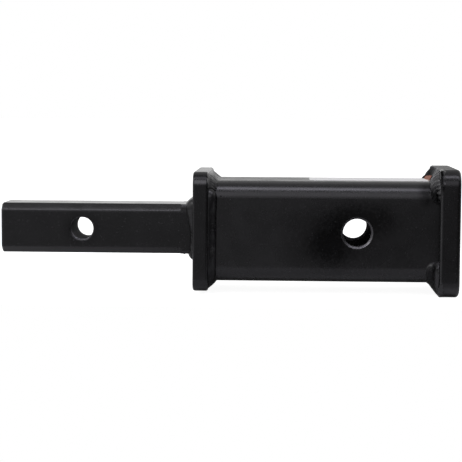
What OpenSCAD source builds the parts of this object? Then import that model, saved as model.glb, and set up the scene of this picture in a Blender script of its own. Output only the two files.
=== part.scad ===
// Hitch receiver adapter: a welded steel sleeve that turns a 1-1/4 inch hitch
// receiver into a 2 inch one. X runs along the part towards the mouth, with
// zero on the axis of the receiver pin, and the bar and the tube share the
// X axis. Y points away from the viewer and Z up. Millimetres.

/* [Shank] */
// Width and height of the square bar
shank_size = 31.75; // [25:0.05:40]
// Length of the bar in front of the end plate
shank_len = 124; // [100:1:200]
// Rounding of the bar's long corners, as rolled
shank_corner_r = 2; // [0.5:0.1:3]
// Width of the flats ground on the long corners
shank_flat = 5.6; // [3.5:0.1:8]
// Distance from the end plate at which the ground flats stop
shank_flat_stop = 9; // [7.5:0.5:20]
// Bevel round the free end
shank_end_bevel = 1; // [0.3:0.1:2]
// Diameter of the cross hole for the hitch pin
shank_pin_d = 14.3; // [8:0.1:18]
// Distance from the end plate to the cross hole
shank_pin_dist = 72; // [40:0.5:85]
// Countersink of the cross hole, on the radius
shank_pin_bevel = 0.6; // [0.2:0.1:1.5]

/* [End plate] */
// Width and height of the square plate
plate_size = 75; // [70:0.5:110]
// Thickness of the plate
plate_thick = 9.5; // [5:0.5:16]
// Corner radius of the plate
plate_corner_r = 8; // [3:0.5:12]
// Rounding of the plate's edges
plate_edge_r = 1.4; // [0.5:0.1:2.4]

/* [Receiver tube] */
// Outside width and height of the square tube
tube_size = 63.5; // [56:0.1:68]
// Wall of the tube
tube_wall = 6.35; // [3:0.05:8]
// Outside corner radius of the tube
tube_corner_r = 10.5; // [8.5:0.1:14]
// Length of the tube, from the end plate to the mouth
tube_len = 156.5; // [140:0.5:250]
// Bevel inside the mouth
mouth_bevel = 1.2; // [0.5:0.1:2]
// Diameter of the cross holes for the receiver pin
tube_pin_d = 17.5; // [10:0.1:22]
// Distance from the mouth to the cross holes
tube_pin_dist = 63.5; // [40:0.5:90]
// Countersink of the cross holes, on the radius
tube_pin_bevel = 1.3; // [0.3:0.1:2]

/* [Mouth collar] */
// Width of the collar along the tube
collar_width = 12.5; // [8:0.5:25]
// Thickness of the collar over the tube
collar_wall = 8; // [4:0.25:14]
// Corner radius of the collar
collar_corner_r = 10; // [4:0.5:14]
// Rounding of the collar's edges at the mouth
collar_mouth_r = 2.2; // [0.5:0.1:3]
// Rounding of the collar's edges on the weld side
collar_back_r = 0.8; // [0.3:0.1:2]
// Slip clearance between the tube and the collar, a side
collar_fit = 0.1; // [0.05:0.05:0.3]

/* [Welds] */
// Leg of the shank weld along the bar, on top
shank_leg_top = 6; // [3:0.1:6.5]
// Leg of the shank weld along the bar, on the two sides
shank_leg_side = 3.4; // [2:0.1:6.5]
// Leg of the shank weld along the bar, underneath
shank_leg_under = 5; // [3:0.1:6.5]
// Leg of the shank weld up the end plate
shank_leg_rise = 4.2; // [2:0.1:7]
// Crown of the shank weld's face, as a share of its leg up the plate
shank_crown_ratio = 0.14; // [0.02:0.01:0.25]
// Leg of the plate weld along the tube, on top
plate_leg_top = 6; // [3:0.1:9]
// Leg of the plate weld along the tube, on the two sides
plate_leg_side = 5.2; // [3:0.1:9]
// Leg of the plate weld along the tube, underneath
plate_leg_under = 5; // [3:0.1:9]
// Hollow of the plate weld's face on top, as a share of its leg up the plate
plate_hollow_ratio = 0.08; // [0.02:0.01:0.15]
// Crown of the plate weld's face on the two sides, as the same share
plate_crown_ratio = 0.09; // [0.02:0.01:0.25]
// Crown of the plate weld's face underneath, as the same share
under_crown_ratio = 0.04; // [0.02:0.01:0.25]
// Share of the plate's ledge round the tube that the plate welds cover
plate_cover_ratio = 0.84; // [0.5:0.02:0.94]
// Angle into a corner of the tube at which the plate weld on top hands over to
// the one down the side
handover_angle = 62; // [50:1:75]
// Leg of the collar welds along the tube
collar_leg = 6.8; // [4:0.1:10]
// Crown of the collar welds' faces, as a share of their leg up the collar
collar_crown_ratio = 0.05; // [0.02:0.01:0.2]
// Share of the collar's height over the tube that the collar welds cover
collar_cover_ratio = 0.9; // [0.5:0.02:0.94]
// Length by which the collar welds pass the tube's corners
collar_weld_lap = 3.2; // [1:0.1:8]
// Length of the rounded end of a weld
weld_end = 5; // [2:0.5:6]
// Unevenness of the weld legs, as a share of the leg
weld_waver_ratio = 0.06; // [0:0.01:0.12]

/* [Label] */
// Length of the blank vinyl label on top of the tube, as far as the weld
label_len = 73; // [30:1:80]
// Width of the label
label_width = 34; // [15:1:40]
// Thickness of the vinyl
label_thick = 0.2; // [0.1:0.05:0.5]
// Length of the end that rides up the collar weld
label_climb = 4; // [1:0.5:5]

/* [Hidden] */
$fn = 64;

coat = "#26272a";
weld_coat = "#34353a";
vinyl = "whitesmoke";

// Stations along X, counted from the receiver pin
mouth_x = tube_pin_dist;
plate_front_x = mouth_x - tube_len;
plate_back_x = plate_front_x - plate_thick;
flat_stop_x = plate_back_x - shank_flat_stop;
shank_end_x = plate_back_x - shank_len;
shank_pin_x = plate_back_x - shank_pin_dist;
collar_back_x = mouth_x - collar_width;

// Half sizes across the part
shank_half = shank_size / 2;
flats_half = shank_half * sqrt(2) - shank_flat / 2;
plate_half = plate_size / 2;
tube_half = tube_size / 2;
bore_half = tube_half - tube_wall;
bore_r = tube_corner_r - tube_wall;
sleeve_half = tube_half + collar_fit;
sleeve_r = tube_corner_r + collar_fit;
collar_half = sleeve_half + collar_wall;

// Legs of the welds up the plate and the collar, inside their edges
plate_leg_rise = (plate_half - tube_half) * plate_cover_ratio;
collar_leg_rise = (collar_half - tube_half) * collar_cover_ratio;

// Turn of a whole corner and of half of one, and the angle of the handover where
// the corner is counted from the side
corner_angle = 90;
mid_angle = corner_angle / 2;
side_handover_angle = corner_angle - handover_angle;

// Steps of a weld's mesh across its face, along a side, round a corner and
// round an end, and its uneven waves once round the part
face_steps = 6;
side_steps = 10;
arc_steps = 6;
end_angles = [10, 30, 50, 70];
waves = [9, 16];

// Where the uneven waves of each weld start, in degrees
shank_phase = 60;
plate_phases = [20, 140, 250, 300];
collar_phases = [200, 75];

// How far a cut runs past the surface that it opens
past = 1;

// Flat outline of a square with round corners
module rounded_square(half, r) {
    flat = half - r;
    square([2 * half, 2 * flat], center = true);
    square([2 * flat, 2 * half], center = true);
    for (y = [-flat, flat], z = [-flat, flat])
        translate([y, z]) circle(r);
}

// Square bar along X from x0 to x1, with round long corners
module square_bar(half, r, x0, x1) {
    translate([x0, 0, 0]) rotate([90, 0, 90])
        linear_extrude(x1 - x0) rounded_square(half, r);
}

// The same bar from x0 on, with the half section that its child draws: out to
// $reach from the middle, and up along the bar
module profiled_bar(half, r, x0) {
    flat = half - r;
    translate([x0, 0, 0]) rotate([90, 0, 90]) {
        for (turn = [0, 90])
            rotate([90, 0, turn]) linear_extrude(2 * flat, center = true)
                for (side = [0, 1]) mirror([side, 0])
                    let ($reach = half) children();
        for (y = [-flat, flat], z = [-flat, flat])
            translate([y, z, 0]) rotate_extrude()
                let ($reach = r) children();
    }
}

// Half section with its edge rounded by e0 at the start and by e1 at the end
module rounded_edges(len, e0, e1) {
    translate([0, e0]) square([$reach, len - e0 - e1]);
    square([$reach - e0, len - e1]);
    translate([0, e0]) square([$reach - e1, len - e0]);
    translate([$reach - e0, e0]) mirror([0, 1]) quarter_disc(e0);
    translate([$reach - e1, len - e1]) quarter_disc(e1);
}

module quarter_disc(r) {
    intersection() {
        circle(r);
        square(r);
    }
}

// Half section with its edge cut off by a bevel at the start
module bevelled_start(len, bevel) {
    polygon([[0, 0], [$reach - bevel, 0], [$reach, bevel], [$reach, len], [0, len]]);
}

// Half section that widens by a bevel, and on past the mouth
module flare(bevel) {
    top = bevel + past;
    polygon([[0, 0], [$reach, 0], [$reach + top, top], [0, top]]);
}

// Round hole along Y at x through a bar, countersunk at both faces
module pin_hole(x, d, half, bevel) {
    top = bevel + past;
    translate([x, 0, 0]) rotate([90, 0, 0]) {
        cylinder(h = 2 * (half + past), d = d, center = true);
        for (side = [0, 1]) mirror([0, 0, side]) translate([0, 0, half - bevel])
            cylinder(h = top, r1 = d / 2, r2 = d / 2 + top);
    }
}

// The rim of a square bar of half size a and corner radius r. Places on it are
// counted along it from the middle of the top side, towards the front.
function rim_len(a, r) = 8 * (a - r) + 2 * PI * r;

// Place of the point at an angle into corner k, where 0 is the top front one
function rim_at(a, r, k, angle) = (2 * k + 1) * (a - r) + PI * r / 2 * (k + angle / 90);

// Point [y, z] at place s, kept just outside a round corner, and the angle at
// which the surface faces there, from straight up towards the front
function rim_point(a, r, s) =
    let (
        quarter = rim_len(a, r) / 4,
        k = floor((s + a - r) / quarter),
        w = s + a - r - k * quarter,
        turn = max(0, w - 2 * (a - r)) / r * 180 / PI,
        reach = turn > 0 ? r / cos(mid_angle / arc_steps) : r,
        along = min(w, 2 * (a - r)) - (a - r) + reach * sin(turn),
        out = a - r + reach * cos(turn)
    )
    [
        -cos(90 * k) * along - sin(90 * k) * out,
        cos(90 * k) * out - sin(90 * k) * along,
        turn + 90 * k
    ];

// Places of a weld's sections: evenly along the sides and round the corners
function rim_stops(a, r, quarters) = [
    for (k = quarters) each [
        for (i = [0:side_steps - 1])
            rim_at(a, r, k - 1, 90) + 2 * (a - r) * i / side_steps,
        for (j = [0:arc_steps - 1])
            rim_at(a, r, k, 90 * (j + 0.5) / arc_steps)
    ]
];

// The same between two ends, as [place, share of the full section]. An end with
// a length is rounded off, and one without is cut square. No stop lies nearer to
// an end than a quarter of the step round a corner.
function bead_stops(a, r, ends, tapers) =
    let (
        first = ends[0] + tapers[0],
        last = ends[1] - tapers[1],
        spacing = PI * r / 2 / arc_steps / 4
    )
    [
        if (tapers[0] > 0) each [
            for (t = end_angles) [ends[0] + tapers[0] * (1 - cos(t)), sin(t)]
        ],
        [first, 1],
        for (s = rim_stops(a, r, [-2:4]))
            if (s > first + spacing && s < last - spacing) [s, 1],
        [last, 1],
        if (tapers[1] > 0) each [
            for (t = reverse(end_angles)) [ends[1] - tapers[1] * (1 - cos(t)), sin(t)]
        ]
    ];

function reverse(list) = [for (i = [len(list) - 1:-1:0]) list[i]];

// A weld's leg at place s, from its legs on top, at the sides and underneath
function leg_at(legs, s, around) =
    let (up = cos(360 * s / around))
    legs[1] + (legs[0] - legs[1]) * pow(max(0, up), 2) + (legs[2] - legs[1]) * pow(max(0, -up), 2);

// Unevenness of a weld at place s, a factor about 1
function waver(s, around, phase) =
    let (turn = 360 * s / around)
    1 + weld_waver_ratio / 2 * (sin(waves[0] * turn + phase) + sin(waves[1] * turn + 2 * phase));

// Section of a bead, as [run, rise] from its root: both toes and a crowned face
function bead_section(run, rise, crown) = [
    [0, 0],
    for (i = [0:face_steps])
        let (t = i / face_steps, bulge = crown * rise * sin(180 * t) / norm([run, rise]))
        [run * (1 - t) + bulge * rise, rise * t + bulge * run]
];

// Weld bead in the corner between a bar and a face across it at x, on the side
// of the face that dir gives. A bead with no ends runs all round the bar.
module bead(a, r, x, dir, legs, rise, crown, phase, ends = [], tapers = [0, 0]) {
    around = rim_len(a, r);
    closed = len(ends) == 0;
    stops = closed ? [for (s = rim_stops(a, r, [0:3])) [s, 1]]
                   : bead_stops(a, r, ends, tapers);
    rings = [
        for (stop = stops)
            let (
                p = rim_point(a, r, stop[0]),
                uneven = stop[1] * waver(stop[0], around, phase),
                run = uneven * leg_at(legs, stop[0], around)
            )
            [
                for (q = bead_section(run, uneven * rise, crown))
                    [x + dir * q[0], p[0] - q[1] * sin(p[2]), p[1] + q[1] * cos(p[2])]
            ]
    ];
    skin(rings, closed, dir > 0);
}

// Closed solid through a row of rings with equally many points
module skin(rings, closed, flip) {
    n = len(rings);
    m = len(rings[0]);
    sides = [
        for (i = [0:n - (closed ? 1 : 2)], j = [0:m - 1])
            let (
                a = i * m + j,
                b = i * m + (j + 1) % m,
                c = (i + 1) % n * m + (j + 1) % m,
                d = (i + 1) % n * m + j
            )
            each [[a, b, c], [a, c, d]]
    ];
    caps = closed ? [] : [[for (j = [m - 1:-1:0]) j], [for (j = [0:m - 1]) (n - 1) * m + j]];
    faces = concat(sides, caps);
    polyhedron(
        [for (ring = rings) each ring],
        flip ? [for (f = faces) reverse(f)] : faces
    );
}

// Solid square bar that slides into the vehicle's receiver
module shank() {
    color(coat) difference() {
        union() {
            square_bar(shank_half, shank_corner_r, flat_stop_x, plate_back_x);
            intersection() {
                profiled_bar(shank_half, shank_corner_r, shank_end_x)
                    bevelled_start(shank_len, shank_end_bevel);
                rotate([45, 0, 0])
                    profiled_bar(flats_half, shank_corner_r, shank_end_x)
                        bevelled_start(flat_stop_x + past - shank_end_x, shank_end_bevel);
            }
        }
        pin_hole(shank_pin_x, shank_pin_d, shank_half, shank_pin_bevel);
    }
}

// Square plate that closes the tube and carries the shank
module end_plate() {
    color(coat)
        profiled_bar(plate_half, plate_corner_r, plate_back_x)
            rounded_edges(plate_thick, plate_edge_r, plate_edge_r);
}

// Structural tube that takes the ball mount, drilled for its pin
module receiver_tube() {
    color(coat) difference() {
        square_bar(tube_half, tube_corner_r, plate_front_x, mouth_x);
        square_bar(bore_half, bore_r, plate_front_x - past, mouth_x + past);
        profiled_bar(bore_half, bore_r, mouth_x - mouth_bevel) flare(mouth_bevel);
        pin_hole(0, tube_pin_d, tube_half, tube_pin_bevel);
    }
}

// Ring slipped over the tube's end to stiffen its mouth
module mouth_collar() {
    color(coat) difference() {
        profiled_bar(collar_half, collar_corner_r, collar_back_x)
            rounded_edges(collar_width, collar_back_r, collar_mouth_r);
        square_bar(sleeve_half, sleeve_r, collar_back_x - past, mouth_x + past);
    }
}

// Weld all round the shank, on the free side of the end plate
module shank_weld() {
    color(weld_coat)
        bead(
            shank_half, shank_corner_r, plate_back_x, -1,
            [shank_leg_top, shank_leg_side, shank_leg_under],
            shank_leg_rise, shank_crown_ratio, shank_phase
        );
}

// One of the four runs between the tube and the end plate, from one place at a
// corner of the tube to the next, each given as [corner, angle into it]
module plate_weld(from, to, crown, phase, tapers) {
    color(weld_coat)
        bead(
            tube_half, tube_corner_r, plate_front_x, 1,
            [plate_leg_top, plate_leg_side, plate_leg_under],
            plate_leg_rise, crown, phase,
            [tube_rim(from[0], from[1]), tube_rim(to[0], to[1])], tapers
        );
}

function tube_rim(k, angle) = rim_at(tube_half, tube_corner_r, k, angle);

module plate_weld_top() {
    plate_weld([-1, side_handover_angle], [0, handover_angle], -plate_hollow_ratio, plate_phases[0], [0, 0]);
}

module plate_weld_front() {
    plate_weld([0, handover_angle], [1, mid_angle], plate_crown_ratio, plate_phases[1], [weld_end, 0]);
}

module plate_weld_bottom() {
    plate_weld([1, mid_angle], [2, mid_angle], under_crown_ratio, plate_phases[2], [0, 0]);
}

module plate_weld_rear() {
    plate_weld([2, mid_angle], [3, side_handover_angle], plate_crown_ratio, plate_phases[3], [0, weld_end]);
}

// One of the two runs behind the collar, from a place past one corner of the
// tube to a place past the next
module collar_weld(k, phase) {
    color(weld_coat)
        bead(
            tube_half, tube_corner_r, collar_back_x, -1,
            [collar_leg, collar_leg, collar_leg],
            collar_leg_rise, collar_crown_ratio, phase,
            [tube_rim(k - 1, 0) - collar_weld_lap, tube_rim(k, corner_angle) + collar_weld_lap],
            [weld_end, weld_end]
        );
}

module collar_weld_top() {
    collar_weld(0, collar_phases[0]);
}

module collar_weld_bottom() {
    collar_weld(2, collar_phases[1]);
}

// Blank vinyl strip on the tube, whose end rides up the collar weld, over the
// weld's crown and where the weld is widest
module label() {
    slope = atan2(collar_leg_rise, collar_leg);
    crest = collar_crown_ratio * collar_leg_rise / sin(slope);
    bend_x = collar_back_x - (collar_leg + crest) * (1 + weld_waver_ratio);
    end_x = bend_x + label_climb;
    end_z = tube_half + label_climb * tan(slope);
    color(vinyl) rotate([90, 0, 0]) linear_extrude(label_width, center = true)
        polygon([
            [bend_x - label_len, tube_half],
            [bend_x, tube_half],
            [end_x, end_z],
            [end_x - label_thick * sin(slope), end_z + label_thick * cos(slope)],
            [bend_x - label_thick * tan(slope / 2), tube_half + label_thick],
            [bend_x - label_len, tube_half + label_thick]
        ]);
}

shank();
end_plate();
receiver_tube();
mouth_collar();
shank_weld();
plate_weld_top();
plate_weld_front();
plate_weld_bottom();
plate_weld_rear();
collar_weld_top();
collar_weld_bottom();
label();
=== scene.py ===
import math
import random

import bpy
from mathutils import Matrix, Vector, noise


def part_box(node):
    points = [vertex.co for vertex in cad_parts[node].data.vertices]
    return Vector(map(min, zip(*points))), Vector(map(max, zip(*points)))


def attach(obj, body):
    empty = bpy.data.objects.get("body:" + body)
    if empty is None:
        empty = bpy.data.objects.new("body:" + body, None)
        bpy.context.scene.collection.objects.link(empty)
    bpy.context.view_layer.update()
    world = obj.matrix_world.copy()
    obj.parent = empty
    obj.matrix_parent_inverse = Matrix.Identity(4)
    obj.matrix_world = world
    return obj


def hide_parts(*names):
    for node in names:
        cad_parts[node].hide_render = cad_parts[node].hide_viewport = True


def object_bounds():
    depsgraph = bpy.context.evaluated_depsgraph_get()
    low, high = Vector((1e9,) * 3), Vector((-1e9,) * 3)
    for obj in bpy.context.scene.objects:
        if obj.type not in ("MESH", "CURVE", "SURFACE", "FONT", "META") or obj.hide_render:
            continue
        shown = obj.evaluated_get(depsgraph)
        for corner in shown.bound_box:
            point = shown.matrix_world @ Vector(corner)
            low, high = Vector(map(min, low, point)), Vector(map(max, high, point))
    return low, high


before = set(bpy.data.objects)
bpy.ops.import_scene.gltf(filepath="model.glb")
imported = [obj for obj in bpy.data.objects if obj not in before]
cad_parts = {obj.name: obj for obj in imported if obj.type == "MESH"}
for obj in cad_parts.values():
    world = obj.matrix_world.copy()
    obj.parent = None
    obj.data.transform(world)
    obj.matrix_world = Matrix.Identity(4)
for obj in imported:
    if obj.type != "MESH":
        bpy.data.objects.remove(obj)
cad_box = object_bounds()
millimetre = 0.001

# Camera: it stands a metre in front of the part and a little above it, and
# looks slightly down and to the left through a long lens.
camera_place = (-0.04069, -0.95913, 0.08234)
camera_turn = math.radians(2.344)
camera_dip = math.radians(5.037)
camera_roll = math.radians(0.326)
image_width = 462
focal_pixels = 1490.2
bpy.ops.object.camera_add()
camera = bpy.context.object
camera.matrix_world = (
    Matrix.Translation(camera_place)
    @ Matrix.Rotation(camera_turn, 4, "Z")
    @ Matrix.Rotation(math.pi / 2 - camera_dip, 4, "X")
    @ Matrix.Rotation(camera_roll, 4, "Z")
)
camera.data.lens = camera.data.sensor_width * focal_pixels / image_width
bpy.context.scene.camera = camera

# Shank: a solid square bar of mild steel, with flats ground on its long corners
# and a countersunk pin hole. It butts on the end plate and, like all the steel,
# has one black powder coat, semi-gloss with a fine orange peel.
shank_bar = (15.875 * millimetre, 2 * millimetre)
shank_hole_x = -0.1745
shank_hole = {
    "centre": shank_hole_x,
    "radius": 7.15 * millimetre,
    "half_depth": shank_bar[0],
    "countersink": 0.6 * millimetre,
}
shank_patches = (
    # dull round the pin hole
    ((shank_hole_x, -0.016, 0.0), (0.016, 0.012, 0.014), 0.0, 0.35, 0),
    # painted highlight: glossier and lighter along the lower edge of the upper front flat
    ((-0.165, -0.0158, 0.0122), (0.14, 0.0026, 0.0024), 0.0, -0.6, 0),
    # painted sheen: glossier and lighter top
    ((-0.165, 0.0, 0.0165), (0.14, 0.03, 0.0015), 0.0, -0.25, 0),
)


def wire(tree, value, socket):
    """Feed a socket from another node's output, or set it to a plain value."""
    if isinstance(value, bpy.types.NodeSocket):
        tree.links.new(value, socket)
    else:
        socket.default_value = value


def calculate(tree, operation, a, b=0.0):
    """Result of a Math node on two outputs or numbers."""
    node = tree.nodes.new("ShaderNodeMath")
    node.operation = operation
    wire(tree, a, node.inputs[0])
    wire(tree, b, node.inputs[1])
    return node.outputs["Value"]


def remap(tree, value, start, end, low, high):
    """Smooth change from low to high while a value goes from start to end."""
    node = tree.nodes.new("ShaderNodeMapRange")
    node.interpolation_type = "SMOOTHSTEP"
    sockets = ("Value", "From Min", "From Max", "To Min", "To Max")
    for socket, number in zip(sockets, (value, start, end, low, high)):
        wire(tree, number, node.inputs[socket])
    return node.outputs["Result"]


def new_material(name):
    """Node material, with its tree and its shader."""
    material = bpy.data.materials.new(name)
    material.use_nodes = True
    return material, material.node_tree, material.node_tree.nodes["Principled BSDF"]


def pin_hole(tree, place, centre, radius, half_depth, countersink):
    """Masks of the wall and of the countersinks of a hole along Y, with the
    distance from its middle and the height over its axis."""
    slack = 0.05 * millimetre
    away = tree.nodes.new("ShaderNodeVectorMath")
    away.operation = "SUBTRACT"
    tree.links.new(place, away.inputs[0])
    away.inputs[1].default_value = (centre, 0, 0)
    parts = tree.nodes.new("ShaderNodeSeparateXYZ")
    tree.links.new(away.outputs["Vector"], parts.inputs["Vector"])
    x, z = parts.outputs["X"], parts.outputs["Z"]
    squares = calculate(tree, "ADD", calculate(tree, "MULTIPLY", x, x), calculate(tree, "MULTIPLY", z, z))
    distance = calculate(tree, "SQRT", squares)
    depth = calculate(tree, "ABSOLUTE", parts.outputs["Y"])
    near = calculate(tree, "LESS_THAN", distance, radius + countersink + slack)
    below = calculate(tree, "LESS_THAN", depth, half_depth - slack)
    inside = calculate(tree, "MULTIPLY", near, below)
    drilled = calculate(tree, "LESS_THAN", distance, radius + 2 * slack)
    wall = calculate(tree, "MULTIPLY", inside, drilled)
    rim = calculate(tree, "MULTIPLY", inside, calculate(tree, "SUBTRACT", 1.0, drilled))
    return wall, rim, depth, z


def powder_coat(
    name, shine=1.0, roughness=0.3, peel=0.012, edge=0.4, patches=(), hole=None, lit_lower_wall=0.0, bare=0.15,
):
    """Black powder coat. Peel is the height of its orange peel and edge the
    softness of its edges, in mm. A patch has its centre, its reach along X, Y
    and Z, its turn about Y, the share of gloss that it loses, less than 0 where
    it gains, and the roughness that it gains; the gloss also scales the base
    colour, and some patches are painted highlights and painted shade. In a hole
    the wall is rough and dusty, lit_lower_wall is how much painted light
    lightens the lower side of the wall towards its mouths, and bare is the tone
    of the bare metal rim."""
    material, tree, shader = new_material(name)
    place = tree.nodes.new("ShaderNodeTexCoord").outputs["Object"]
    black, dust_grey = 0.0058, 0.02
    black_tint = (1.0, 0.98, 1.05)
    gloss_tint = (0.97, 0.96, 1, 1)
    full_gloss = 0.5
    patch_core = 0.8

    def grain(size, detail):
        """Noise with lumps of a size in metres."""
        node = tree.nodes.new("ShaderNodeTexNoise")
        node.inputs["Scale"].default_value = 1 / size
        node.inputs["Detail"].default_value = detail
        tree.links.new(place, node.inputs["Vector"])
        return node.outputs["Fac"]

    def mottle(size, detail, low, high, start=0.3, end=0.7):
        """Change from low to high and back in lumps of a size in metres."""
        return remap(tree, grain(size, detail), start, end, low, high)

    def blend(share, a, b):
        """Mix of two outputs or numbers."""
        node = tree.nodes.new("ShaderNodeMix")
        for socket, value in (("Factor", share), ("A", a), ("B", b)):
            wire(tree, value, node.inputs[socket])
        return node.outputs["Result"]

    gloss = shine
    rough = mottle(0.012, 2, roughness - 0.03, roughness + 0.03)
    frayed = mottle(0.0018, 3, 0.8, 1.2)
    for centre, reach, turn, dulled, roughened in patches:
        mapping = tree.nodes.new("ShaderNodeMapping")
        mapping.vector_type = "TEXTURE"
        mapping.inputs["Location"].default_value = centre
        mapping.inputs["Rotation"].default_value = (0, turn, 0)
        mapping.inputs["Scale"].default_value = reach
        tree.links.new(place, mapping.inputs["Vector"])
        ball = tree.nodes.new("ShaderNodeTexGradient")
        ball.gradient_type = "SPHERICAL"
        tree.links.new(mapping.outputs["Vector"], ball.inputs["Vector"])
        patch = calculate(tree, "MULTIPLY", ball.outputs["Fac"], frayed)
        gloss = calculate(tree, "MULTIPLY", gloss, remap(tree, patch, 0, patch_core, 1, 1 - dulled))
        rough = calculate(tree, "ADD", rough, remap(tree, patch, 0, patch_core, 0, roughened))

    shade = calculate(tree, "MULTIPLY", mottle(0.02, 3, 0.8, 1.2), gloss)
    dust = mottle(0.0011, 1, 0, dust_grey, start=0.66, end=0.78)
    tone = calculate(tree, "ADD", calculate(tree, "MULTIPLY", shade, black), dust)
    metal = 0.0
    if hole:
        wall, rim, depth, height = pin_hole(tree, place, **hole)
        rough = blend(wall, rough, 0.85)
        gloss = blend(wall, gloss, 0.3)
        tone = blend(wall, tone, mottle(0.0015, 3, 0.005, 0.03, start=0.35, end=0.65))
        half, radius = hole["half_depth"], hole["radius"]
        # painted light: the lower side of the hole wall is made lighter towards its mouths
        mouth = remap(tree, depth, half - 5 * millimetre, half - 1 * millimetre, 0.3, 1)
        lower_side = remap(tree, height, 0.1 * radius, -0.7 * radius, 0, lit_lower_wall)
        painted_light_wall = calculate(tree, "MULTIPLY", wall, calculate(tree, "MULTIPLY", lower_side, mouth))
        tone = blend(painted_light_wall, tone, mottle(0.0008, 2, 0.06, 0.3, start=0.35, end=0.65))
        metal = calculate(tree, "MULTIPLY", rim, mottle(0.002, 2, 0.6, 1.0, start=0.35, end=0.6))
        tone = blend(metal, tone, bare)
    colour = tree.nodes.new("ShaderNodeCombineColor")
    for channel, share in zip(("Red", "Green", "Blue"), black_tint):
        tree.links.new(calculate(tree, "MULTIPLY", tone, share), colour.inputs[channel])
    tree.links.new(colour.outputs["Color"], shader.inputs["Base Color"])
    tree.links.new(rough, shader.inputs["Roughness"])
    wire(tree, metal, shader.inputs["Metallic"])
    tree.links.new(calculate(tree, "MULTIPLY", gloss, full_gloss), shader.inputs["Specular IOR Level"])
    shader.inputs["Specular Tint"].default_value = gloss_tint

    bevel = tree.nodes.new("ShaderNodeBevel")
    bevel.samples = 6
    bevel.inputs["Radius"].default_value = edge * millimetre
    normal = bevel.outputs["Normal"]
    slow_waves = (0.03, 1, 0.03)
    orange_peel = (0.0013, 2, peel)
    for size, detail, height in (slow_waves, orange_peel):
        bump = tree.nodes.new("ShaderNodeBump")
        bump.inputs["Strength"].default_value = 1
        bump.inputs["Distance"].default_value = height * millimetre
        tree.links.new(grain(size, detail), bump.inputs["Height"])
        tree.links.new(normal, bump.inputs["Normal"])
        normal = bump.outputs["Normal"]
    tree.links.new(normal, shader.inputs["Normal"])
    return material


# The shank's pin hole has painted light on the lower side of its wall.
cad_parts["shank"].material_slots[0].material = powder_coat(
    "bar_powder_coat", roughness=0.22, edge=1.3, patches=shank_patches,
    hole=shank_hole, lit_lower_wall=1.0, bare=0.1,
)

# End plate: a square of steel plate with round corners that closes the tube.
# It is welded to the bar on one side and to the tube on the other, and on its upper front corner a painted
# highlight and painted shade give the look of a softened facet.
plate_patches = (
    # painted highlight: glossier, lighter lower part of the corner, and painted shade: a dull, darker line
    # over it
    ((-0.0977, -0.0372, 0.0318), (0.03, 0.0035, 0.0032), 0.0, -1.15, 0),
    ((-0.0977, -0.0359, 0.0343), (0.03, 0.004, 0.0017), 0.0, 0.69, 0),
)
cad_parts["end_plate"].material_slots[0].material = powder_coat(
    "plate_powder_coat", shine=0.85, roughness=0.24, edge=0.8, patches=plate_patches,
)

# Receiver tube: thick square steel tube, open at the mouth, with a countersunk
# pin hole through both side walls. It butts on the end plate.
tube_bar = (31.75 * millimetre, 10.5 * millimetre)
tube_hole = {
    "centre": 0.0,
    "radius": 8.75 * millimetre,
    "half_depth": tube_bar[0],
    "countersink": 1.3 * millimetre,
}
tube_patches = (
    # dull round the pin hole and to the right of it
    ((-0.017, -0.032, -0.007), (0.021, 0.006, 0.018), 0.3, 0.6, 0),
    ((-0.018, -0.032, -0.004), (0.042, 0.006, 0.03), 0.4, 0.35, 0),
    ((0.002, -0.032, 0.008), (0.034, 0.006, 0.017), 0.0, 0.6, 0),
    ((0.03, -0.032, 0.0), (0.06, 0.006, 0.03), 0.0, 0.2, 0),
    # dull beside the collar weld
    ((0.0435, -0.029, 0.025), (0.008, 0.012, 0.012), 0.0, 0.6, 0),
    # matte top
    ((-0.02, 0.0, 0.0325), (0.2, 0.06, 0.003), 0.0, 0.1, 0.1),
    # painted highlights and painted shade: a glossy, a dull and a glossy band up the round of the upper
    # front corner
    ((-0.02, -0.0306, 0.026), (0.2, 0.003, 0.0016), 0.0, -0.45, 0),
    ((-0.02, -0.0291, 0.0282), (0.2, 0.003, 0.0014), 0.0, 0.25, 0),
    ((-0.02, -0.0252, 0.0308), (0.2, 0.004, 0.0014), 0.0, -0.5, 0),
)
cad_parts["receiver_tube"].material_slots[0].material = powder_coat(
    "tube_powder_coat", roughness=0.27, patches=tube_patches, hole=tube_hole,
)

# Mouth collar: a square ring of thick steel slipped over the tube's end, flush
# with the mouth, and welded to the tube behind.
collar_patches = (
    # matte top
    ((0.057, 0.0, 0.041), (0.03, 0.2, 0.0045), 0.0, 0.2, 0.2),
    # painted shade: dull, dark back edge of the upper front corner, where the weld meets it
    ((0.0518, -0.037, 0.0335), (0.0019, 0.014, 0.012), 0.0, 0.95, 0),
    # painted highlight: glossier, lighter lower front corner
    ((0.057, -0.037, -0.036), (0.014, 0.006, 0.006), 0.0, -0.8, 0),
    # painted highlight: a glossy, lighter line along the back edge of the front face
    ((0.0514, -0.0397, 0.0), (0.0013, 0.004, 0.2), 0.0, -1.0, 0),
)
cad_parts["mouth_collar"].material_slots[0].material = powder_coat(
    "collar_powder_coat", shine=0.72, roughness=0.26, edge=2, patches=collar_patches,
)

# Shank weld: one run of weld metal laid by hand all round the bar, against the
# end plate. Like every bead it is a sheet rolled into a fillet and wrapped round
# its bar, has the scallops of the weld pool across its face, and is coated over.
weld_patches = (
    # dull lower end of the front plate weld, which has the same coat
    ((-0.09, -0.034, -0.031), (0.008, 0.01, 0.014), 0.0, 0.6, 0),
)
weld_coat = powder_coat(
    "weld_powder_coat", shine=0.9, roughness=0.28, peel=0.04, edge=0.1, patches=weld_patches,
)
# ripples: their bow across the face is a share of the pitch, and the level is
# that of a scallop's mean height
ripple_pitch = 1.9 * millimetre
ripple_bow = 0.55
ripple_level = 0.7
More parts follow.
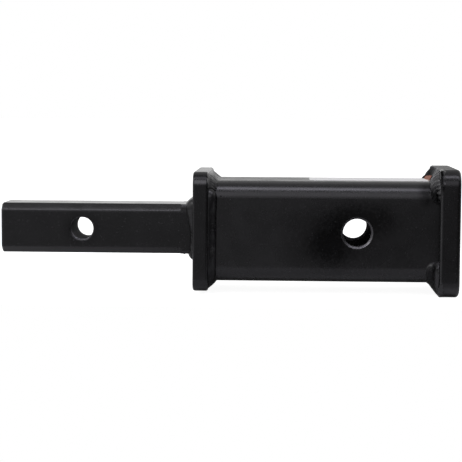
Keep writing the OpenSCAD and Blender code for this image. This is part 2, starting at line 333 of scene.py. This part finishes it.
# chance changes of the ripples' place, the leg, the rise and the face: how far
# they go, where that isn't given for each bead, and their pace
drift_change, drift_pace = 0.35, 250
leg_change, leg_pace = 0.35, 220
rise_change, rise_pace = 0.04, 200
lump_pace, lump_rows = 300, 2.5
# share of ripples and lumps that is left in a calm stretch, and where it fades
calm_share = 0.3
calm_fade = 3 * millimetre
# lengths in mm over which a fuller stretch starts and ends
swell_in, swell_out = 3, 6
# share of a rounded end's curve that is used, so that no end is a sharp point
blunt_end = 0.985
# rings along a bead, and columns across its face and its two hidden sides
rings_per_ripple = 10
face_columns = 20
hidden_columns = 6


def girth(bar):
    """Length of the outline of a square bar (half size, corner radius)."""
    half, corner = bar
    return 8 * (half - corner) + 2 * math.pi * corner


def on_outline(half, corner, place):
    """Point on a square bar's outline, and the way out of it, at a distance
    along the outline from the middle of the top, towards the camera."""
    flat = half - corner
    side, along = divmod(place + flat, 2 * flat + corner * math.pi / 2)
    turn = max(0, along - 2 * flat) / corner
    out = Vector((0, -math.sin(turn), math.cos(turn)))
    point = corner * out + Vector((0, flat - min(along, 2 * flat), flat))
    quarter_turns = Matrix.Rotation(side * math.pi / 2, 3, "X")
    return quarter_turns @ point, quarter_turns @ out


def wander(place, pace, seed, layer):
    """Chance change along a bead, from -1 to 1, that turns about pace times a metre."""
    return noise.noise(Vector((place * pace, seed, layer)))


def end_share(place, span, ends):
    """Share of its full section that a bead has near its rounded ends."""
    share = 1
    for end, inward in zip(ends, (place - span[0], span[1] - place)):
        if end and inward < end:
            share = math.sin(math.acos(max(0, 1 - inward / end) * blunt_end))
    return share


def new_sheet(along, across):
    """Flat sheet of one metre each way, in a grid, to be bent to shape."""
    bpy.ops.object.select_all(action="DESELECT")
    bpy.ops.mesh.primitive_grid_add(x_subdivisions=along, y_subdivisions=across, size=1)
    return bpy.context.object


def finish_bead(bead, name, coat):
    """Close a rolled sheet into a solid bead and give it its coat and body."""
    bpy.ops.object.mode_set(mode="EDIT")
    bpy.ops.mesh.select_all(action="SELECT")
    bpy.ops.mesh.remove_doubles(threshold=0.005 * millimetre)
    bpy.ops.mesh.fill_holes(sides=0)
    bpy.ops.mesh.select_all(action="SELECT")
    bpy.ops.mesh.normals_make_consistent(inside=False)
    bpy.ops.object.mode_set(mode="OBJECT")
    bpy.ops.object.shade_smooth()
    bead.name = name + "_bead"
    bead.data.materials.append(coat)
    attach(bead, "root")


def lay_bead(
    name, bar, foot, way, span, leg, rise, crown, seed, ends=(0, 0), ripple=0.15, lumps=0.2,
    lean=1, slant=0, calm=0, waves=None, swells=(), coat=weld_coat,
):
    """Bead on a bar (half size, corner radius) against the face at foot, on the
    side that way gives, over a span of the bar's outline. Leg is its reach along
    the bar at each place, rise its reach up the face, and crown its fullness as
    a share of the rise. Ends are the lengths of its rounded ends. Ripple and
    lumps are heights in mm: lean steepens one side of each ripple, slant turns
    them, and they are low within calm of the middle. Waves gives the middle,
    reach and height of each swell across the face at a place, and swells the
    start, end and height of each fuller stretch, in mm."""
    length = span[1] - span[0]
    rings = round(length / ripple_pitch * rings_per_ripple)
    columns = face_columns + hidden_columns
    bead = new_sheet(rings, columns)
    for vertex in bead.data.vertices:
        place = span[0] + length * (vertex.co.x + 0.5)
        along = place / millimetre
        column = round(columns * (vertex.co.y + 0.5))
        full = end_share(place, span, ends)
        rough = full * min(1, max(calm_share, (abs(place) - calm) / calm_fade)) if calm else full
        point, out = on_outline(*bar, place)
        run = leg(place) * (full + leg_change * lumps * rough * wander(place, leg_pace, seed, 0))
        up = rise * full * (1 + rise_change * wander(place, rise_pace, seed, 5))
        if column <= face_columns:
            share = column / face_columns
            across = math.sin(math.pi * share)
            height = crown * up * math.sqrt(across)
            drift = drift_change * wander(place, drift_pace, seed, 9)
            pool = (place / ripple_pitch + drift + ripple_bow * across ** 2 + slant * share) % 1
            scallop = math.sqrt(math.sin(math.pi * pool ** lean)) - ripple_level
            height += ripple * millimetre * rough * scallop * across ** 0.5
            lump = noise.noise(Vector((place * lump_pace, share * lump_rows, seed)))
            height += lumps * millimetre * rough * across * lump
            for middle, reach, swell in waves(place) if waves else ():
                height += swell * millimetre * full ** 3 * math.exp(-(((share - middle) / reach) ** 2))
            for start, end, swell in swells:
                inside = min(1, max(0, along - start) / swell_in) * min(1, max(0, end - along) / swell_out)
                height += swell * millimetre * full * across * inside * inside * (3 - 2 * inside)
            slope = math.hypot(run, up)
            forward = run * (1 - share) + height * up / slope
            outward = up * share + height * run / slope
        else:
            share = (column - face_columns) / hidden_columns
            forward = run * max(0, 2 * share - 1)
            outward = up * max(0, 1 - 2 * share)
        vertex.co = point + out * outward + Vector((foot + way * forward, 0, 0))
    finish_bead(bead, name, coat)
    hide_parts(name)


def legs(bar, top, side, under):
    """Leg along the bar at each place, from those on top, at the sides and underneath."""
    around = girth(bar)

    def leg(place):
        up = math.cos(2 * math.pi * place / around)
        return millimetre * (side + (top - side) * max(0, up) ** 2 + (under - side) * max(0, -up) ** 2)

    return leg


def shank_leg(place):
    """The shank weld is wider high up on its sides than low down."""
    height = on_outline(*shank_bar, place)[0].z / millimetre
    side = 3.7 + 1.3 * math.tanh((height - 2) / 5)
    return legs(shank_bar, 6, side, 5)(place)


plate_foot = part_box("end_plate")[0].x
lay_bead(
    "shank_weld", shank_bar, plate_foot, -1, (0, girth(shank_bar)), shank_leg,
    rise=4.2 * millimetre, crown=0.22, seed=1,
)

# Plate welds: four runs round the tube, against the end plate. The top one turns
# down over both upper corners, where the rounded tips of the front and rear ones
# lap it, and the bottom one meets those two at the lower corners.
tube_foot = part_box("end_plate")[1].x
plate_rise = 4.83 * millimetre
plate_legs = legs(tube_bar, 6, 5.2, 5)
weld_end = 5 * millimetre
upright_end = 1.2 * weld_end
under_next = 3 * millimetre
over_next = 0.8 * millimetre
handover = 62


def outline_place(bar, corner, angle):
    """Distance along the outline to an angle into a corner, where 0 is the top
    one on the camera's side."""
    half, radius = bar
    return (2 * corner + 1) * (half - radius) + math.pi / 2 * radius * (corner + angle / 90)


front_handover = outline_place(tube_bar, 0, handover)
rear_handover = outline_place(tube_bar, -1, 90 - handover)
lower_front = outline_place(tube_bar, 1, 45)
lower_rear = outline_place(tube_bar, 2, 45)
lay_bead(
    "plate_weld_top", tube_bar, tube_foot, 1,
    (rear_handover - under_next, front_handover + under_next), plate_legs,
    rise=plate_rise, crown=-0.08, seed=2, ends=(weld_end, weld_end), ripple=0.25, lumps=0.3,
)
lay_bead(
    "plate_weld_front", tube_bar, tube_foot, 1, (front_handover - over_next, lower_front), plate_legs,
    rise=plate_rise, crown=0.17, seed=3, ends=(upright_end, 0), ripple=0.06, lumps=0.12,
    swells=((30, 46, 0.8),),
)
lay_bead(
    "plate_weld_bottom", tube_bar, tube_foot, 1, (lower_front, lower_rear), plate_legs,
    rise=plate_rise, crown=0.04, seed=4,
)
lay_bead(
    "plate_weld_rear", tube_bar, tube_foot, 1,
    (lower_rear, outline_place(tube_bar, 3, 90 - handover) + over_next), plate_legs,
    rise=plate_rise, crown=0.17, seed=5, ends=(0, upright_end), ripple=0.06, lumps=0.12,
)

# Collar welds: one run on top of the tube and one underneath, against the back
# of the collar. Each laps two corners of the tube and ends in rounded tips. The
# top one is lumpy, and both are hollow in places.
top_weld_coat = powder_coat(
    "top_weld_powder_coat", shine=2.0, roughness=0.24, peel=0.04, edge=0.1,
    patches=(
        # painted shade: duller, darker and rougher on top of the tube, over the bead's far slope
        ((0.0445, 0.02, 0.037), (0.02, 0.037, 0.016), 0.0, 0.8, 0.3),
        ((0.0445, 0.0, 0.036), (0.012, 0.028, 0.012), 0.0, 0.7, 0.35),
        # painted shade: a dark line where it meets the collar
        ((0.0516, -0.036, 0.0355), (0.0019, 0.014, 0.01), 0.0, 0.96, 0),
        # dull lower end
        ((0.048, -0.034, 0.023), (0.01, 0.012, 0.0095), 0.0, 0.85, 0),
    ),
)
low_weld_coat = powder_coat(
    "low_weld_powder_coat", shine=1.3, roughness=0.24, peel=0.04, edge=0.1,
    patches=(
        # painted shade: dull and darker in its hollow; also dull at its upper end
        ((0.0453, -0.034, -0.028), (0.0046, 0.012, 0.016), 0.0, 0.7, 0),
        ((0.049, -0.037, -0.021), (0.0032, 0.01, 0.004), 0.0, 0.7, 0),
    ),
)


# places in mm from the middle of the tube's top: where the rear stretch of the
# top weld starts, the middle of its near corner and the start of its near end
rear_start, near_corner, near_end = -21, 31, 34
# in mm from the middle of the underside: where the bottom weld turns up a side,
# and over what length
turn_start, turn_length = 27, 9


def ease(value, middle, width):
    """Smooth step from 0 to 1 round a middle."""
    return 0.5 + 0.5 * math.tanh((value - middle) / width)


def at_the_back(place):
    """Share that the top collar weld has come to its rear stretch."""
    return ease(-place / millimetre, -rear_start, 3)


def top_collar_leg(place):
    """The top collar weld is widest at the back, and wider again round the near corner."""
    corner = math.exp(-(((place / millimetre - near_corner) / 5) ** 2))
    return (5.2 + 1.8 * at_the_back(place) + 0.9 * corner) * millimetre


def top_collar_waves(place):
    """The top collar weld is hollow at the back and in its near end."""
    at_the_end = ease(place / millimetre, near_end, 2)
    return ((0.42, 0.25, -0.4 * at_the_back(place) - 1.1 * at_the_end),)


def up_the_side(place):
    """Share that the bottom collar weld has turned from underneath to the tube's sides."""
    half, corner = tube_bar
    along = abs(place - outline_place(tube_bar, 1, 90) - (half - corner))
    return min(1, max(0, along / millimetre - turn_start) / turn_length)


def low_collar_leg(place):
    """The bottom collar weld grows wider up the sides of the tube."""
    return (6.8 + 1.5 * up_the_side(place)) * millimetre


def low_collar_waves(place):
    """The bottom collar weld is hollow near the tube and, on the sides, full
    near the collar."""
    side = up_the_side(place)
    return ((0.42 - 0.07 * side, 0.27 - 0.07 * side, 0.75 * side - 1.45), (0.8, 0.18, 0.9 * side))


collar_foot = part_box("mouth_collar")[0].x
top_collar_rise = 7.9 * millimetre
low_collar_rise = 7.6 * millimetre
top_lap = 3.2 * millimetre
low_lap = 4.4 * millimetre
low_end = 1.5 * weld_end
lay_bead(
    "collar_weld_top", tube_bar, collar_foot, -1,
    (outline_place(tube_bar, -1, 0) - top_lap, outline_place(tube_bar, 0, 90) + top_lap), top_collar_leg,
    rise=top_collar_rise, crown=0.04, seed=6, ends=(weld_end, weld_end), ripple=1.1, lumps=0.5,
    lean=2, slant=1.1, calm=16 * millimetre, waves=top_collar_waves, swells=((22, 36, 0.6),),
    coat=top_weld_coat,
)
lay_bead(
    "collar_weld_bottom", tube_bar, collar_foot, -1,
    (outline_place(tube_bar, 1, 0) - low_lap, outline_place(tube_bar, 2, 90) + low_lap), low_collar_leg,
    rise=low_collar_rise, crown=0.04, seed=7, ends=(low_end, low_end), ripple=0.08, lumps=0.2,
    lean=2, waves=low_collar_waves, coat=low_weld_coat,
)

# Collar spills: at its back corners some metal of the collar welds has run over
# the collar's edge in a thin, lumpy lip, under the same coat.
collar_bar = (39.85 * millimetre, 10 * millimetre)
edge_round = 0.8 * millimetre
edge_share = 0.4
sunk_edge = 0.06 * millimetre
for name, corner, seed, coat in (
    ("collar_spill_top_front", 0, 11, top_weld_coat),
    ("collar_spill_bottom_front", 1, 12, low_weld_coat),
    ("collar_spill_bottom_rear", 2, 13, low_weld_coat),
    ("collar_spill_top_rear", 3, 14, top_weld_coat),
):
    span = (outline_place(collar_bar, corner, 0), outline_place(collar_bar, corner, 90))
    spill = new_sheet(60, 16)
    for vertex in spill.data.vertices:
        share_along, share = vertex.co.x + 0.5, vertex.co.y + 0.5
        place = span[0] + (span[1] - span[0]) * share_along
        point, out = on_outline(*collar_bar, place)
        swell = max(0, min(1, 0.5 + 0.8 * wander(place, 330, seed, 1)))
        room = collar_bar[1] * (1 - math.cos(math.pi / 2 * min(share_along, 1 - share_along)))
        thick = min(0.6 * room, (0.15 + 0.8 * swell) * millimetre)
        if share < edge_share:
            turn = math.radians(90 * share / edge_share)
            radius = edge_round + thick
            forward = edge_round - radius * math.cos(turn)
            outward = -edge_round + radius * math.sin(turn)
        else:
            fall = (share - edge_share) / (1 - edge_share)
            forward = edge_round + (0.6 + 2.2 * swell) * millimetre * fall
            outward = (thick + sunk_edge) * math.cos(math.pi / 2 * fall ** 1.5) - sunk_edge
        vertex.co = point + out * outward + Vector((collar_foot + forward, 0, 0))
    finish_bead(spill, name, coat)

# Spatter: small drops of weld metal stuck to the steel beside the welds, under
# the same coat. None lies on a top face.
random.seed(21)
drops = []
for bar, near, far, count in (
    (tube_bar, tube_foot + 6.5 * millimetre, tube_foot + 18 * millimetre, 14),
    (tube_bar, collar_foot - 16 * millimetre, collar_foot - 8 * millimetre, 10),
    (shank_bar, plate_foot - 14 * millimetre, plate_foot - 6.5 * millimetre, 8),
):
    for _ in range(count):
        point, out = on_outline(*bar, random.uniform(0, girth(bar)))
        radius = random.uniform(0.25, 0.55) * millimetre
        if point.z > 0.99 * bar[0]:
            continue
        bpy.ops.object.select_all(action="DESELECT")
        bpy.ops.mesh.primitive_ico_sphere_add(
            subdivisions=2, radius=radius,
            location=point + 0.2 * radius * out + Vector((random.uniform(near, far), 0, 0)),
        )
        drops.append(bpy.context.object)
bpy.ops.object.select_all(action="DESELECT")
for drop in drops:
    drop.select_set(True)
bpy.context.view_layer.objects.active = drops[0]
bpy.ops.object.join()
spatter = bpy.context.object
bpy.ops.object.transform_apply(location=True, rotation=True, scale=True)
bpy.ops.object.shade_smooth()
spatter.name = "spatter"
spatter.data.materials.append(weld_coat)
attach(spatter, "root")

# Label: a blank strip of white vinyl stuck along the top of the tube. Its end
# has a plain orange field, is cut at a slant and rides up the collar weld.
label_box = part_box("label")
label_half = label_box[1].y
label_thick = 0.2 * millimetre
label_corner = 3 * millimetre
toe_gap = 0.3 * millimetre
# the end climbs farther in front than at the back and less at its round corners,
# and bulges a little off the weld
climb = 2.8 * millimetre
climb_slant = 0.42
climb_rounding = 0.4
bulge = 0.6 * millimetre
label = new_sheet(90, 24)
for vertex in label.data.vertices:
    share = vertex.co.x + 0.5
    across = 2 * label_half * vertex.co.y
    toe = collar_foot - top_collar_leg(-across) - toe_gap
    inset = max(0, abs(across) - (label_half - label_corner))
    rounding = label_corner - math.sqrt(max(0, label_corner ** 2 - inset ** 2))
    start = label_box[0].x + rounding
    climb_end = climb * (1 - climb_slant * across / label_half) - climb_rounding * rounding
    length = toe - start + climb_end
    along = start + length * share
    climbed = max(0, along - toe)
    slope = math.atan2(top_collar_rise, top_collar_leg(-across))
    lift = bulge * (1 - math.exp(-climbed / millimetre))
    vertex.co = (
        min(along, toe) + climbed * math.cos(slope) - lift * math.sin(slope),
        across,
        tube_bar[0] + label_thick + climbed * math.sin(slope) + lift * math.cos(slope),
    )
label.name = "label_vinyl"
bpy.ops.object.modifier_add(type="SOLIDIFY")
label.modifiers["Solidify"].thickness = label_thick
label.modifiers["Solidify"].offset = -1
bpy.ops.object.modifier_apply(modifier="Solidify")
bpy.ops.object.shade_smooth_by_angle(angle=math.radians(40))
white_print = (0.68, 0.68, 0.67, 1)
orange_print = (0.25, 0.085, 0.05, 1)
orange_start = 45.3 * millimetre
print_skew = 0.018
vinyl, tree, shader = new_material("vinyl_label")
place = tree.nodes.new("ShaderNodeSeparateXYZ")
tree.links.new(tree.nodes.new("ShaderNodeTexCoord").outputs["Object"], place.inputs["Vector"])
skew = calculate(tree, "MULTIPLY", place.outputs["Y"], print_skew)
skewed = calculate(tree, "ADD", skew, place.outputs["X"])
print_colour = tree.nodes.new("ShaderNodeMix")
print_colour.data_type = "RGBA"
print_colour.inputs["A"].default_value = white_print
print_colour.inputs["B"].default_value = orange_print
tree.links.new(calculate(tree, "GREATER_THAN", skewed, orange_start), print_colour.inputs["Factor"])
tree.links.new(print_colour.outputs["Result"], shader.inputs["Base Color"])
shader.inputs["Roughness"].default_value = 0.5
shader.inputs["Specular IOR Level"].default_value = 0.03
label.data.materials.append(vinyl)
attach(label, "root")
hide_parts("label")

# Floor: a white sheet that ends a little in front of the part, where the pale
# room takes over.
floor_front = -0.085
floor_size = 8
floor_glow = 0.92
bpy.ops.object.select_all(action="DESELECT")
bpy.ops.mesh.primitive_plane_add(
    size=floor_size, location=(0, floor_front + floor_size / 2, cad_box[0].z),
)
floor = bpy.context.object
floor.name = "floor"
paper, tree, shader = new_material("white_floor")
shader.inputs["Base Color"].default_value = (0.65, 0.65, 0.65, 1)
shader.inputs["Roughness"].default_value = 0.9
shader.inputs["Specular IOR Level"].default_value = 0
shader.inputs["Emission Color"].default_value = (1, 1, 1, 1)
seen = tree.nodes.new("ShaderNodeLightPath").outputs["Is Camera Ray"]
tree.links.new(calculate(tree, "MULTIPLY", seen, floor_glow), shader.inputs["Emission Strength"])
floor.data.materials.append(paper)

# Room: white behind the part, dimmer overhead and dim in front, more so on the
# right. The camera sees plain white everywhere.
world = bpy.data.worlds.new("studio")
bpy.context.scene.world = world
world.use_nodes = True
tree = world.node_tree
background = tree.nodes["Background"]
background.inputs["Color"].default_value = (1, 1, 1, 1)
toward = tree.nodes.new("ShaderNodeSeparateXYZ")
tree.links.new(tree.nodes.new("ShaderNodeTexCoord").outputs["Generated"], toward.inputs["Vector"])
right, back, up = (toward.outputs[axis] for axis in "XYZ")
back_wall = remap(tree, back, -0.1, 0.35, 0.0, 1.0)
lower_part = remap(tree, up, 0.3, 0.55, 1.0, 0.5)
front_wall = calculate(
    tree, "ADD", remap(tree, right, -0.3, 0.5, 0.31, 0.05), remap(tree, right, -0.95, -0.5, 0.45, 0.0),
)
front_wall = calculate(tree, "MULTIPLY", calculate(tree, "SUBTRACT", 1.0, back_wall), front_wall)
walls = calculate(tree, "ADD", calculate(tree, "MULTIPLY", back_wall, lower_part), front_wall)
ceiling = remap(tree, up, 0.6, 0.9, 0.0, 0.46)
studio = calculate(tree, "MAXIMUM", walls, ceiling)
seen = tree.nodes.new("ShaderNodeLightPath").outputs["Is Camera Ray"]
tree.links.new(calculate(tree, "MAXIMUM", studio, seen), background.inputs["Strength"])


# Lights: a narrow strip high in front, a wide panel lower down, and a panel at
# each side.
def softbox(name, azimuth, elevation, distance, size, radiance, colour=(1, 1, 1)):
    """Rectangular lamp that faces the part from a direction given in degrees."""
    bpy.ops.object.light_add(type="AREA")
    lamp = bpy.context.object
    lamp.name = name
    lamp.data.shape = "RECTANGLE"
    lamp.data.size, lamp.data.size_y = size
    lamp.data.energy = radiance * math.pi * size[0] * size[1]
    lamp.data.color = colour
    lamp.visible_camera = False
    lamp.matrix_world = (
        Matrix.Rotation(math.radians(azimuth), 4, "Z")
        @ Matrix.Rotation(math.radians(90 - elevation), 4, "X")
        @ Matrix.Translation((0, 0, distance))
    )


softbox(
    "strip_light", azimuth=0, elevation=66, distance=0.8, size=(1.3, 0.24), radiance=3.5,
    colour=(0.92, 0.91, 1),
)
softbox(
    "front_panel", azimuth=0, elevation=24, distance=1.3, size=(1.6, 0.72), radiance=1.05,
    colour=(0.97, 0.96, 1),
)
softbox("left_panel", azimuth=-75, elevation=38, distance=1.3, size=(0.5, 0.5), radiance=2.0)
softbox("right_panel", azimuth=80, elevation=32, distance=1.3, size=(0.8, 0.7), radiance=0.4)

bpy.context.scene.view_settings.view_transform = "Standard"
